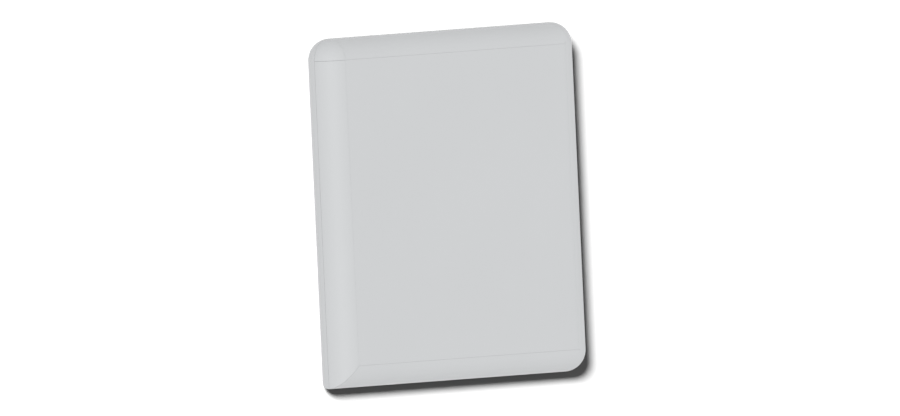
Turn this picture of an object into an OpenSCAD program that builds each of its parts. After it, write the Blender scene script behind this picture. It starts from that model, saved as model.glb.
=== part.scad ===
/* [Panel] */
// Width of the panel
panel_w = 800; // [760:1:1000]
// Height of the panel
panel_h = 800; // [780:1:1000]
// Thickness of the panel, which is twice the radius of its round edges
panel_t = 100; // [96:1:130]
// Wall of the moulded shells, the edge strips and the front sheet
wall = 3; // [2.5:0.1:4]
// Width of the open seam between two outer pieces
seam = 0.4; // [0.1:0.05:0.6]
// Thickness of the gasket between the front and rear mouldings
parting_gap = 0.6; // [0.3:0.1:1.2]
// Width of the glue flange that stands inwards behind the front sheet
flange_w = 16; // [15:1:20]
// Depth of the parting gasket below the outer surface
gasket_inset = 0.5; // [0.3:0.1:1.2]

/* [Shell screws] */
// Distance between neighbouring shell screws along an edge
screw_pitch = 250; // [180:1:260]
// Radius of a shell screw's shank
screw_r = 2; // [1.5:0.1:2.5]
// Radius of a shell screw's head
screw_head_r = 3.8; // [3.4:0.1:4.2]
// Wall round a screw in its boss
boss_wall = 3; // [2:0.1:3.5]

/* [Coils] */
// Width of a coil's wound bundle
coil_w = 16; // [10:1:20]
// Depth of a coil's wound bundle
coil_t = 12; // [8:1:14]
// Outer corner radius of a coil
coil_r = 60; // [40:1:80]
// Distance between a coil and the edge of the flat front
coil_margin = 26; // [26:1:40]
// Distance between the upper coil and the lower coil
coil_gap = 24; // [22:1:40]
// Distance from the front of the panel to the front of the coils
coil_depth = 20; // [18:1:24]

/* [Service door] */
// Width of the service door
door_w = 320; // [300:1:340]
// Height of the service door
door_h = 180; // [170:1:190]
// Height of the door's middle above the wall bracket's middle
door_z = -190; // [-195:1:-185]
// Gap round the closed door
door_gap = 0.5; // [0.4:0.1:0.8]
// Radius of the door's hinge barrel
barrel_r = 3.5; // [3.2:0.1:4]
// Radius of a hinge pin
pin_r = 1.5; // [1.2:0.1:1.8]
// Radial play of a pin or plunger in the hole that it turns or slides in
play = 0.05; // [0.03:0.01:0.08]
// Radius of the door lock's barrel
lock_r = 9; // [8:0.5:10]

/* [Wall bracket] */
// Width of the two hooked plates that hang the panel
cleat_w = 240; // [220:1:260]
// Thickness of the hooked plates
cleat_t = 3; // [2.5:0.1:3]
// Distance between the wall screw holes across the panel
bolt_x = 180; // [150:1:200]
// Distance between the wall screw holes up the panel
bolt_z = 40; // [36:1:42]
// Radius of a wall screw hole
bolt_r = 3.3; // [2.7:0.1:4.5]

/* [Cable gland] */
// Radius of the hole that takes the cable
cable_r = 4; // [3:0.1:4.5]
// Radius of the gland's thread
gland_r = 8; // [7.5:0.1:9]
// Distance from the panel's middle to the gland
gland_x = 262; // [258:1:266]

/* [Hidden] */
$fn = 96;

shell_grey = [0.83, 0.84, 0.84];
steel_grey = [0.66, 0.67, 0.68];
eps = 0.01;
big = 4 * (panel_w + panel_h);

// The frame: X to the right, Y out of the back, Z up, with the wall at Y = 0.
edge_r = panel_t / 2;
flat_x = panel_w / 2 - edge_r;
flat_z = panel_h / 2 - edge_r;
y_sheet = -panel_t + wall;
tape_t = 0.4;
y_flange = y_sheet + tape_t + wall;
inner_r = edge_r - wall;

// The four sides are numbered right, top, left and bottom.
function side_offset(k) = k % 2 == 0 ? flat_x : flat_z;
function side_half(k) = k % 2 == 0 ? flat_z : flat_x;

// A profile drawn as (outwards, backwards) is run along one side.
module side_frame(k) rotate([0, -90 * k, 0]) translate([side_offset(k), -edge_r, 0]) children();
module side_run(k, from, to) {
    side_frame(k) translate([0, 0, from]) linear_extrude(to - from) children();
}

// The same profile is turned about the corner at the far end of a side.
module side_corner(k) {
    side_frame(k) translate([0, 0, side_half(k)])
        rotate([90, 0, 0]) rotate_extrude(angle = 90) mirror([0, 1]) children();
}

// The cut that mitres the far end of the left side, or the near end of the bottom side.
module mitre_far(k, gap) {
    side_frame(k) translate([0, 0, side_half(k)]) rotate([0, -45, 0])
        translate([-big / 2, -big / 2, -gap / 2]) cube(big);
}
module mitre_near(k, gap) {
    side_frame(k) translate([0, 0, -side_half(k)]) rotate([0, 45, 0])
        translate([-big / 2, -big / 2, gap / 2 - big]) cube(big);
}

// A quarter of a round edge: 1 is the rear quarter and -1 is the front quarter.
module edge_quarter(half, gap = parting_gap) {
    intersection() {
        difference() {
            circle(edge_r);
            circle(inner_r);
        }
        translate([0, half > 0 ? gap / 2 : -big]) square([big, half > 0 ? big : big - gap / 2]);
    }
}

// The front quarter thickened at its edge, and then with the flange that the front sheet is glued to.
module front_edge() {
    edge_quarter(-1);
    translate([0, wall / 2 - edge_r]) square([wall, wall * 1.5 + tape_t]);
}
module front_profile() {
    front_edge();
    translate([-flange_w, wall + tape_t - edge_r]) square([flange_w, wall]);
}

module rod(x, z, y0, y1, r) translate([x, y1, z]) rotate([90, 0, 0]) cylinder(h = y1 - y0, r = r);
module tube(x, z, y0, y1, r, bore) {
    difference() {
        rod(x, z, y0, y1, r);
        rod(x, z, y0 - 1, y1 + 1, bore);
    }
}
module plate(x, z, w, h, y0, y1) translate([x - w / 2, y0, z - h / 2]) cube([w, y1 - y0, h]);

// Shell screws: three to a side, each in a boss just inside the flat edge.
screw_inset = flange_w - screw_r - boss_wall - 1;
screw_y0 = y_flange + 2 * wall;
screw_y1 = -2 * wall;
head_t = 2.5;
boss_r = screw_r + boss_wall + 1;
module at_screws(sides = [0, 1, 2, 3]) {
    for (k = sides, i = [-1, 0, 1])
        side_frame(k) translate([-screw_inset, edge_r, i * screw_pitch]) rotate([0, 90 * k, 0]) children();
}

module shell_screws() color(steel_grey) at_screws() {
    rod(0, 0, screw_y0, screw_y1 - head_t + eps, screw_r);
    difference() {
        rod(0, 0, screw_y1 - head_t, screw_y1, screw_head_r);
        plate(0, 0, 1, 2 * screw_head_r - 2, screw_y1 - head_t / 2, screw_y1 + 1);
    }
}

module front_bosses(sides) {
    at_screws(sides) tube(0, 0, y_flange - eps, -edge_r - parting_gap / 2, boss_r, screw_r + play);
}

// Front: one flat sheet and three kinds of round edge.
module front_panel() color(shell_grey) {
    translate([seam / 2 - flat_x, -panel_t, seam / 2 - flat_z])
        cube([2 * flat_x - seam, wall, 2 * flat_z - seam]);
}

module front_frame() color(shell_grey) {
    side_run(1, -flat_x, flat_x - seam) front_profile();
    side_run(0, -flat_z, flat_z) front_profile();
    difference() {
        side_run(3, -flat_x - edge_r, flat_x) front_profile();
        mitre_near(3, seam);
    }
    side_corner(0) front_edge();
    side_corner(3) front_edge();
    front_bosses([0, 1, 3]);
}

module left_edge_strip() color(shell_grey) {
    difference() {
        union() {
            side_run(2, -flat_z + seam, flat_z + edge_r) edge_quarter(-1);
            side_run(2, -flat_z + flange_w + seam, flat_z + edge_r) front_profile();
            front_bosses([2]);
        }
        mitre_far(2, seam);
    }
}

module corner_cap() color(shell_grey) side_corner(1) edge_quarter(-1);

// The closed outline of the panel, drawn back by d, in X and Z.
module outline(d) {
    square([2 * flat_x, 2 * (flat_z + edge_r - d)], center = true);
    square([2 * (flat_x + edge_r - d), 2 * flat_z], center = true);
    for (s = [[1, 1], [-1, 1], [1, -1]])
        translate([s[0] * flat_x, s[1] * flat_z]) circle(edge_r - d);
    translate([d - flat_x - edge_r, d - flat_z - edge_r]) square(edge_r);
}
module slab(y0, y1) translate([0, y1, 0]) rotate([90, 0, 0]) linear_extrude(y1 - y0) children();
module ring(w, h, band) {
    difference() {
        square([w, h], center = true);
        square([w - 2 * band, h - 2 * band], center = true);
    }
}

module parting_gasket() color("dimgray") slab(-edge_r - parting_gap / 2, -edge_r + parting_gap / 2) {
    difference() {
        outline(gasket_inset);
        outline(wall);
    }
}

// Thin double-sided tape between the front sheet and the flanges.
module front_bond_tape() color("white") slab(y_sheet, y_sheet + tape_t) {
    ring(2 * (flat_x - seam), 2 * (flat_z - seam), flange_w - 2 * seam);
}

coil_y0 = -panel_t + coil_depth;
coil_y1 = coil_y0 + coil_t;

// Rear: one deep moulding with the door frame, the bracket's pocket and the gland's pocket.
rim_t = 3;
ledge_w = 10;
ledge_y1 = -8;
ledge_y0 = ledge_y1 - rim_t;
frame_w = door_w + 2 * door_gap;
frame_h = door_h + 2 * door_gap;

cleat_gap = 5;
hook_h = 24;
wall_plate_h = bolt_z + 28;
plate_z0 = -wall_plate_h / 2 + 4;
hook_z = plate_z0 + wall_plate_h;
pocket_w = cleat_w + 4 * cleat_gap;
pocket_z0 = plate_z0 - cleat_gap;
pocket_z1 = hook_z + hook_h + 3 * cleat_gap + cleat_t;
pocket_depth = 4 * cleat_t + 2;
cleat_boss_y0 = -pocket_depth - 3 * wall;
cleat_screw_z = [plate_z0 + 14, pocket_z1 - 10];
module at_cleat_screws() {
    for (sx = [-1, 1], z = cleat_screw_z) translate([sx * bolt_x / 3, 0, z]) children();
}

gland_pocket_w = 44;
gland_depth = 30;
gland_z = door_z;

pivot_x = -door_w / 2 + barrel_r;
pivot_y = -barrel_r;
pin_len = 16;
pin_out = 7;
ear_w = 2 * barrel_r + 5;

tray_w = door_w + 60;
tray_h = door_h + 36;
tray_t = 2;
tray_y1 = coil_y1 + 8;
post_r = 6;
tray_hole = 10;
module at_tray_posts() {
    for (sx = [-1, 1], sz = [-1, 1])
        translate([sx * (tray_w / 2 - tray_hole), 0, door_z + sz * (tray_h / 2 - tray_hole)]) children();
}

module rear_shell() color(shell_grey) {
    difference() {
        union() {
            translate([-flat_x, -wall, -flat_z]) cube([2 * flat_x, wall, 2 * flat_z]);
            for (k = [0, 1]) side_run(k, -side_half(k), side_half(k)) edge_quarter(1);
            for (k = [0, 1, 3]) side_corner(k) edge_quarter(1);
            difference() {
                side_run(2, -flat_z, flat_z + edge_r) edge_quarter(1);
                mitre_far(2, 0);
            }
            difference() {
                side_run(3, -flat_x - edge_r, flat_x) edge_quarter(1);
                mitre_near(3, 0);
            }
            plate(0, door_z, frame_w + 2 * rim_t, frame_h + 2 * rim_t, ledge_y0, -wall / 2);
            plate(0, (pocket_z0 + pocket_z1) / 2, pocket_w + 2 * wall,
                  pocket_z1 - pocket_z0 + 2 * wall, -pocket_depth - wall, -wall / 2);
            plate(gland_x, gland_z, gland_pocket_w + 2 * wall, gland_pocket_w + 2 * wall,
                  -gland_depth - wall, -wall / 2);
            for (s = [-1, 1])
                plate(pivot_x, door_z + s * (frame_h + pin_out + 3) / 2, ear_w, pin_out + 3,
                      ledge_y0, -wall / 2);
            at_screws() rod(0, 0, -edge_r + parting_gap / 2, -wall / 2, boss_r);
            at_tray_posts() rod(0, 0, tray_y1, -wall / 2, post_r);
            at_cleat_screws() rod(0, 0, cleat_boss_y0, -pocket_depth - wall / 2, post_r);
        }
        plate(0, door_z, frame_w, frame_h, ledge_y1, 1);
        plate(0, door_z, frame_w - 2 * ledge_w, frame_h - 2 * ledge_w, ledge_y0 - 1, 1);
        plate(0, (pocket_z0 + pocket_z1) / 2, pocket_w, pocket_z1 - pocket_z0, -pocket_depth, 1);
        plate(gland_x, gland_z, gland_pocket_w, gland_pocket_w, -gland_depth, 1);
        rod(gland_x, gland_z, -gland_depth - wall - 1, 0, gland_r + play);
        for (s = [-1, 1])
            translate([pivot_x, pivot_y, door_z + s * (frame_h + pin_out) / 2])
                cylinder(h = pin_out, r = pin_r + play, center = true);
        at_screws() {
            rod(0, 0, -edge_r, screw_y1, screw_r + play);
            rod(0, 0, screw_y1 - head_t, 1, screw_head_r + play);
        }
        at_tray_posts() rod(0, 0, tray_y1 - 1, tray_y1 + 12, screw_r + play);
        at_cleat_screws() rod(0, 0, cleat_boss_y0 - 1, -pocket_depth + 1, screw_r + play);
    }
}

// Posts that hold the front sheet off the rear wall.
spacer_r = 9;
module spacer_posts() color("gainsboro") {
    for (x = [-1, 0, 1], z = [0.36, 0.66])
        tube(x * 0.6 * flat_x, z * flat_z, y_sheet, -wall, spacer_r, spacer_r - wall);
    for (s = [-1, 1])
        tube(s * (tray_w / 2 + 32), -0.31 * flat_z, y_sheet, -wall, spacer_r, spacer_r - wall);
}

// Coils: two flat rings of wound wire, one above the other.
coil_ow = 2 * (flat_x - coil_margin);
coil_oh = flat_z - coil_margin - coil_gap / 2;
coil_z = coil_gap / 2 + coil_oh / 2;
module round_rect(w, h, r) {
    square([w - 2 * r, h], center = true);
    square([w, h - 2 * r], center = true);
    for (sx = [-1, 1], sz = [-1, 1]) translate([sx * (w / 2 - r), sz * (h / 2 - r)]) circle(r);
}
module coil(z) translate([0, 0, z]) slab(coil_y0, coil_y1) {
    difference() {
        round_rect(coil_ow, coil_oh, coil_r);
        round_rect(coil_ow - 2 * coil_w, coil_oh - 2 * coil_w, coil_r - coil_w);
    }
}
module upper_coil() color("peru") coil(coil_z);
module lower_coil() color("peru") coil(-coil_z);

// Brackets: a grooved post under the coil, and a clamp plate over it.
bracket_len = 18;
bracket_side = 8;
coil_play = 0.3;
clamp_t = 4;
clamp_screw_r = 1.5;
clamp_head_r = 3;
module at_brackets() {
    for (s = [-1, 1], i = [-1, 1]) {
        translate([i * coil_ow / 4, 0, s * (coil_z + (coil_oh - coil_w) / 2)]) rotate([0, 90 + 90 * s, 0]) children();
        translate([i * (coil_ow - coil_w) / 2, 0, s * coil_z]) rotate([0, 90 * i, 0]) rotate([0, 180, 0]) children();
    }
}
bracket_y0 = coil_y0 - coil_play;
bracket_w = coil_w + 2 * coil_play + 2 * bracket_side;
clamp_screw_z = (coil_w + bracket_side) / 2 + coil_play;
module coil_brackets() color("gainsboro") at_brackets() {
    difference() {
        plate(0, 0, bracket_len, bracket_w, bracket_y0, -wall);
        plate(0, 0, bracket_len + 2, coil_w + 2 * coil_play, bracket_y0 - 1, coil_y1);
        rod(0, clamp_screw_z, bracket_y0 - 1, bracket_y0 + 10, clamp_screw_r + play);
    }
}
module coil_clamps() color("whitesmoke") at_brackets() {
    difference() {
        plate(0, 0, bracket_len, bracket_w, bracket_y0 - clamp_t, bracket_y0);
        rod(0, clamp_screw_z, bracket_y0 - clamp_t - 1, bracket_y0 + 1, clamp_screw_r + play);
    }
}
module clamp_screws() color(steel_grey) at_brackets() {
    rod(0, clamp_screw_z, bracket_y0 - clamp_t - eps, bracket_y0 + 8, clamp_screw_r);
    rod(0, clamp_screw_z, bracket_y0 - clamp_t - 2, bracket_y0 - clamp_t, clamp_head_r);
}

// Controller: a tray behind the service door, with its parts facing the door.
tray_y0 = tray_y1 - tray_t;
board_w = 180;
board_h = 120;
board_x = 10;
board_z = door_z - 10;
board_t = 1.6;
standoff_h = 8;
board_y0 = tray_y1 + standoff_h;
board_y1 = board_y0 + board_t;
board_hole = 5;
board_screw_r = 1.5;
module at_board_holes() {
    for (sx = [-1, 1], sz = [-1, 1])
        translate([board_x + sx * (board_w / 2 - board_hole), 0, board_z + sz * (board_h / 2 - board_hole)])
            children();
}
module chassis_tray() color("silver") {
    difference() {
        union() {
            plate(0, door_z, tray_w, tray_h, tray_y0, tray_y1);
            for (s = [-1, 1])
                plate(s * (tray_w / 2 - 2 * tray_hole - tray_t), door_z, tray_t, tray_h - 4 * tray_hole,
                      tray_y0, tray_y1 + 6);
        }
        at_tray_posts() rod(0, 0, tray_y0 - 1, tray_y1 + 1, screw_r + play);
        at_board_holes() rod(0, 0, tray_y0 - 1, tray_y1 + 1, board_screw_r + play);
        rod(toroid_x, toroid_z, tray_y0 - 1, tray_y1 + 1, toroid_bolt_r + play);
    }
}
module tray_screws() color(steel_grey) at_tray_posts() {
    rod(0, 0, tray_y0 - head_t, tray_y0, screw_head_r);
    rod(0, 0, tray_y0 - eps, tray_y1 + 10, screw_r);
}
module main_board() color("seagreen") {
    difference() {
        plate(board_x, board_z, board_w, board_h, board_y0, board_y1);
        at_board_holes() rod(0, 0, board_y0 - 1, board_y1 + 1, board_screw_r + play);
    }
}
module board_standoffs() color("gold") {
    at_board_holes() tube(0, 0, tray_y1, board_y0, 3, board_screw_r + play);
}
module board_screws() color(steel_grey) at_board_holes() {
    rod(0, 0, board_y1, board_y1 + 2, 2 * board_screw_r);
    rod(0, 0, tray_y0, board_y1 + eps, board_screw_r);
}

sink_w = 76;
sink_h = 34;
sink_x = board_x + board_w / 2 - sink_w / 2 - 12;
sink_z = board_z + 6;
fin_count = 10;
fin_t = 1.6;
fin_h = 18;
transistor_t = 4.5;
sink_y0 = board_y1 + transistor_t;
module heat_sink() color("dimgray") {
    plate(sink_x, sink_z, sink_w, sink_h, sink_y0, sink_y0 + 4);
    for (i = [0 : fin_count - 1])
        plate(sink_x + (i - (fin_count - 1) / 2) * (sink_w - fin_t) / (fin_count - 1), sink_z,
              fin_t, sink_h, sink_y0 + 4 - eps, sink_y0 + 4 + fin_h);
}
module power_transistors() color("black") {
    for (i = [-1.5 : 1.5]) plate(sink_x + i * 18, sink_z, 10, 15, board_y1, sink_y0);
}
cap_r = 9;
cap_h = 22;
module tuning_capacitors() color("goldenrod") {
    for (i = [0 : 5]) rod(board_x - board_w / 2 + 22 + i * 22, board_z - 44, board_y1, board_y1 + cap_h, cap_r);
}
block_w = 64;
block_h = 12;
block_x = board_x - 40;
block_z = board_z + board_h / 2 - 18;
module terminal_block() color("darkgreen") {
    difference() {
        plate(block_x, block_z, block_w, block_h, board_y1, board_y1 + 14);
        for (i = [-2.5 : 2.5]) rod(block_x + i * 10, block_z, board_y1 + 10, board_y1 + 15, 2.5);
    }
}
supply_w = 58;
supply_h = 100;
supply_t = 30;
supply_x = -tray_w / 2 + 55;
supply_z = door_z - 30;
toroid_x = supply_x;
toroid_z = door_z + 56;
toroid_r = 28;
toroid_h = 22;
toroid_hole = 9;
toroid_bolt_r = 3;
module toroid_transformer() color("darkorange") translate([toroid_x, tray_y1, toroid_z]) rotate([-90, 0, 0]) {
    rotate_extrude() translate([toroid_hole, 0]) {
        translate([toroid_h / 4, 0]) square([toroid_r - toroid_hole - toroid_h / 2, toroid_h]);
        translate([0, toroid_h / 4]) square([toroid_r - toroid_hole, toroid_h / 2]);
        for (u = [toroid_h / 4, toroid_r - toroid_hole - toroid_h / 4], v = [1, 3])
            translate([u, v * toroid_h / 4]) circle(toroid_h / 4);
    }
}
module toroid_bolt() color(steel_grey) {
    rod(toroid_x, toroid_z, tray_y0 - 3, tray_y0, 2 * toroid_bolt_r);
    rod(toroid_x, toroid_z, tray_y0 - eps, tray_y1 + toroid_h + 3, toroid_bolt_r);
    rod(toroid_x, toroid_z, tray_y1 + toroid_h, tray_y1 + toroid_h + 2, toroid_hole + 6);
}
module power_supply() color("lightgray") {
    difference() {
        plate(supply_x, supply_z, supply_w, supply_h, tray_y1, tray_y1 + supply_t);
        for (i = [-3 : 3]) plate(supply_x, supply_z + i * 10, supply_w - 24, 4, tray_y1 + supply_t - 2, 0);
    }
}
module fuse_holder() color("black") {
    plate(block_x + 62, block_z, 34, 10, board_y1, board_y1 + 3);
    translate([block_x + 47, board_y1 + 6, block_z]) rotate([0, 90, 0]) cylinder(h = 30, r = 3.2);
}
sounder_x = tray_w / 2 - 60;
sounder_z = door_z - 60;
module alarm_sounder() color("black") {
    difference() {
        rod(sounder_x, sounder_z, tray_y1, tray_y1 + 14, 15);
        rod(sounder_x, sounder_z, tray_y1 + 13, tray_y1 + 15, 3);
    }
}

// Switches: one bent bracket carries the power switch and the tamper switch.
switch_x = door_w / 2 - 34;
switch_z = door_z + 20;
switch_w = 13;
switch_h = 20;
switch_y1 = -26;
bracket_t = 2;
tamper_z = door_z + 58;
tamper_w = 10;
tamper_h = 14;
tamper_y1 = -14;
plunger_r = 1.5;
plunger_head_r = 2.2;
plunger_travel = 2;
door_touch = 0.3;
switch_span_z0 = switch_z - switch_h / 2 - 6;
switch_span_z1 = tamper_z + tamper_h / 2 + 4;
bracket_top = switch_y1 - 2;
module switch_bracket() color("silver") {
    difference() {
        union() {
            plate(switch_x, (switch_span_z0 + switch_span_z1) / 2, switch_w + 12,
                  switch_span_z1 - switch_span_z0, bracket_top - bracket_t, bracket_top);
            for (z = [switch_span_z0 + bracket_t / 2, switch_span_z1 - bracket_t / 2])
                plate(switch_x, z, switch_w + 12, bracket_t, tray_y1, bracket_top - eps);
            for (z = [switch_span_z0 + bracket_t / 2, switch_span_z1 - bracket_t / 2])
                plate(switch_x, z, switch_w + 12, 6 * bracket_t, tray_y1, tray_y1 + bracket_t);
        }
        plate(switch_x, switch_z, switch_w + 0.4, switch_h + 0.4, bracket_top - bracket_t - 1, 0);
    }
}
rocker_top = 7;
rocker_w = switch_w - 4;
rocker_h = switch_h - 5;
rocker_tilt = 8;
rocker_y = switch_y1 - 6;
module power_switch() color("black") {
    difference() {
        union() {
            plate(switch_x, switch_z, switch_w, switch_h, bracket_top - 10, switch_y1 - 1);
            plate(switch_x, switch_z, switch_w + 3, switch_h + 3, bracket_top, switch_y1);
        }
        plate(switch_x, switch_z, rocker_w + 0.6, rocker_h + 3, rocker_y - 3.4, 0);
        translate([switch_x, rocker_y, switch_z]) rotate([0, 90, 0])
            cylinder(h = switch_w - 1, r = 1 + play, center = true);
    }
}
module switch_rocker() color("firebrick") translate([switch_x, rocker_y, switch_z]) rotate([rocker_tilt, 0, 0]) {
    half = rocker_h / 2 - 0.5;
    difference() {
        across(rocker_w) polygon([[-2, -half], [-2, half], [rocker_top, half], [rocker_top - 1.6, 0],
                                  [rocker_top, -half]]);
        rotate([0, 90, 0]) cylinder(h = switch_w, r = 1 + play, center = true);
    }
}
module rocker_pin() color(steel_grey) translate([switch_x, rocker_y, switch_z]) {
    rotate([0, 90, 0]) cylinder(h = switch_w - 1.4, r = 1, center = true);
}
module tamper_switch() color("black") {
    difference() {
        plate(switch_x, tamper_z, tamper_w, tamper_h, bracket_top, tamper_y1);
        rod(switch_x, tamper_z, bracket_top + 4, tamper_y1 + 1, plunger_r + play);
    }
}
plunger_y1 = -wall - door_touch;
module tamper_plunger() color("white") {
    rod(switch_x, tamper_z, bracket_top + 4 + plunger_travel + door_touch, plunger_y1 - 1, plunger_r);
    rod(switch_x, tamper_z, plunger_y1 - 3, plunger_y1, plunger_head_r);
}

// Door: a flat plate with a hinge barrel along its left edge and a cam lock at its right edge.
lock_x = door_w / 2 - 20;
lock_z = door_z - 20;
barrel_gap = 0.5;
cam_w = 10;
cam_len = 27;
cam_t = 2;
cam_y1 = ledge_y0 - 0.5;
plug_r = 5.5;
module service_door() color(shell_grey) {
    difference() {
        union() {
            plate(barrel_r / 2, door_z, door_w - barrel_r, door_h, -wall, 0);
            translate([pivot_x, pivot_y, door_z]) cylinder(h = door_h, r = barrel_r, center = true);
            for (s = [-1, 1])
                plate(barrel_r, door_z + s * (door_h / 2 - 2 * ledge_w), door_w - 8 * ledge_w, wall,
                      -3 * wall, -wall + eps);
        }
        for (s = [-1, 1])
            translate([pivot_x, pivot_y, door_z + s * (door_h - pin_len + pin_out) / 2])
                cylinder(h = pin_len, r = pin_r + play, center = true);
        rod(lock_x, lock_z, -wall - 1, 1, lock_r - 2 + play);
    }
}
module hinge_pins() color(steel_grey) {
    for (s = [-1, 1])
        translate([pivot_x, pivot_y, door_z + s * (frame_h / 2 + pin_out - pin_len / 2 - 0.3)])
            cylinder(h = pin_len - 0.6, r = pin_r, center = true);
}
module door_gasket() color("dimgray") difference() {
    translate([0, 0, door_z]) slab(ledge_y1, -wall - door_touch)
        ring(frame_w - 0.6, frame_h - 0.6, ledge_w / 2);
    plate(pivot_x, door_z, 2 * barrel_r + 2, door_h + 4, pivot_y - barrel_r - 0.4, 1);
}
module lock_barrel() color("silver") {
    difference() {
        union() {
            rod(lock_x, lock_z, cam_y1 + door_touch, -eps, lock_r - 2);
            rod(lock_x, lock_z, -wall - 1.4 - 0.5, -wall, lock_r - 1);
        }
        rod(lock_x, lock_z, cam_y1 - 1, 1, plug_r + play);
    }
}
module lock_cam() color("gray") {
    difference() {
        rod(lock_x, lock_z, cam_y1 - cam_t, -0.4, plug_r);
        plate(lock_x, lock_z, 1.6, 7, -5, 0);
    }
    plate(lock_x, lock_z + cam_len / 2, cam_w, cam_len, cam_y1 - cam_t, cam_y1);
    rod(lock_x, lock_z + cam_len, cam_y1 - cam_t, cam_y1, cam_w / 2);
}
module lock_nut() color("silver") {
    tube(lock_x, lock_z, cam_y1 - cam_t - 2, cam_y1 - cam_t, plug_r, plug_r - 2.5);
}

// Hanging: the bracket stays on the wall and the cleat, which is part of the panel, hooks over it.
hook_y1 = -cleat_t - 2.5;
hook_y0 = hook_y1 - cleat_t;
lip_y0 = hook_y1 + 0.3;
cleat_y0 = -pocket_depth;
module across(w) translate([-w / 2, 0, 0]) rotate([90, 0, 90]) linear_extrude(w) children();
module wall_bracket() color("silver") {
    difference() {
        across(cleat_w) {
            translate([-cleat_t, plate_z0]) square([cleat_t, wall_plate_h]);
            translate([hook_y0, hook_z - cleat_t]) square([-hook_y0, cleat_t]);
            translate([hook_y0, hook_z - cleat_t]) square([cleat_t, hook_h]);
        }
        for (sx = [-1, 1], sz = [-1, 1]) rod(sx * bolt_x / 2, sz * bolt_z / 2, -cleat_t - 1, 1, bolt_r);
    }
}
module panel_cleat() color("silver") {
    difference() {
        across(cleat_w) {
            translate([cleat_y0, plate_z0]) square([cleat_t, pocket_z1 - plate_z0 - 2]);
            translate([cleat_y0, hook_z + hook_h]) square([lip_y0 + cleat_t - cleat_y0, cleat_t]);
            translate([lip_y0, hook_z]) square([cleat_t, hook_h + cleat_t]);
        }
        at_cleat_screws() rod(0, 0, cleat_y0 - 1, cleat_y0 + cleat_t + 1, screw_r + play);
    }
}
module cleat_screws() color(steel_grey) at_cleat_screws() {
    rod(0, 0, cleat_boss_y0 + 1, cleat_y0 + cleat_t + eps, screw_r);
    rod(0, 0, cleat_y0 + cleat_t, cleat_y0 + cleat_t + head_t, screw_head_r);
}

// Gland: it clamps the supply cable in the floor of its own pocket.
floor_y0 = -gland_depth - wall;
body_flange_t = 5;
gland_tail = 12;
hex_r = gland_r + 5;
neck_r = gland_r - 1;
seal_r = neck_r - 1;
seal_len = 12;
neck_y1 = -gland_depth + body_flange_t + 11;
module hex(y0, y1, r) translate([gland_x, y1, gland_z]) rotate([90, 0, 0]) cylinder(h = y1 - y0, r = r, $fn = 6);
module gland_body() color("dimgray") {
    difference() {
        union() {
            rod(gland_x, gland_z, floor_y0 - gland_tail, -gland_depth, gland_r);
            hex(-gland_depth, -gland_depth + body_flange_t, hex_r);
            rod(gland_x, gland_z, -gland_depth, neck_y1, neck_r);
        }
        rod(gland_x, gland_z, floor_y0 - gland_tail - 1, neck_y1 - seal_len, cable_r + 0.8);
        rod(gland_x, gland_z, neck_y1 - seal_len, neck_y1 + 1, seal_r + play);
    }
}
module gland_nut() color("silver") {
    difference() {
        hex(floor_y0 - 4, floor_y0, hex_r);
        rod(gland_x, gland_z, floor_y0 - 5, floor_y0 + 1, gland_r + play);
    }
}
cap_y0 = -gland_depth + body_flange_t + 0.6;
cap_y1 = neck_y1 + 7;
module gland_cap() color("dimgray") {
    difference() {
        union() {
            hex(cap_y0, neck_y1, hex_r - 1);
            rod(gland_x, gland_z, cap_y0, cap_y1, neck_r + 2.5);
        }
        rod(gland_x, gland_z, cap_y0 - 1, neck_y1 + 0.3, neck_r + play);
        rod(gland_x, gland_z, neck_y1, cap_y1 + 1, cable_r + 1.4);
    }
}
module gland_seal() color("black") {
    tube(gland_x, gland_z, neck_y1 - seal_len, neck_y1, seal_r, cable_r);
}

// Leads: round wires that run straight between rounded bends.
module wire(points, r) {
    for (i = [1 : len(points) - 1]) {
        step = points[i] - points[i - 1];
        translate(points[i - 1]) rotate([0, acos(step.z / norm(step)), atan2(step.y, step.x)])
            cylinder(h = norm(step), r = r);
        if (i < len(points) - 1) translate(points[i]) sphere(r);
    }
}
lead_r = 2;
lead_y = board_y1 + 6;
module coil_leads() color("indianred") {
    for (s = [-1, 1]) {
        x = block_x + s * 15;
        z = s * (coil_gap + coil_w) / 2;
        wire([[x, coil_y1, z], [x, lead_y, z], [x, lead_y, block_z + block_h / 2]], lead_r);
    }
}
supply_r = 3.5;
lead_clear = 0.5;
supply_y = floor_y0 - gland_tail - supply_r - lead_clear;
supply_run_z = supply_z - supply_h / 2 - 7;
module supply_lead() color("black") {
    wire([[gland_x, floor_y0 - gland_tail, gland_z], [gland_x, supply_y, gland_z],
          [gland_x, supply_y, supply_run_z], [supply_x, supply_y, supply_run_z],
          [supply_x, supply_y, supply_z - supply_h / 2]], supply_r);
}

front_panel();
front_frame();
left_edge_strip();
corner_cap();
parting_gasket();
rear_shell();
shell_screws();
front_bond_tape();
spacer_posts();
upper_coil();
lower_coil();
coil_brackets();
coil_clamps();
clamp_screws();
chassis_tray();
tray_screws();
main_board();
board_standoffs();
board_screws();
heat_sink();
power_transistors();
tuning_capacitors();
terminal_block();
toroid_transformer();
toroid_bolt();
power_supply();
fuse_holder();
alarm_sounder();
switch_bracket();
power_switch();
switch_rocker();
rocker_pin();
tamper_switch();
tamper_plunger();
service_door();
hinge_pins();
door_gasket();
lock_barrel();
lock_cam();
lock_nut();
wall_bracket();
panel_cleat();
cleat_screws();
gland_body();
gland_nut();
gland_cap();
gland_seal();
coil_leads();
supply_lead();
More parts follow.
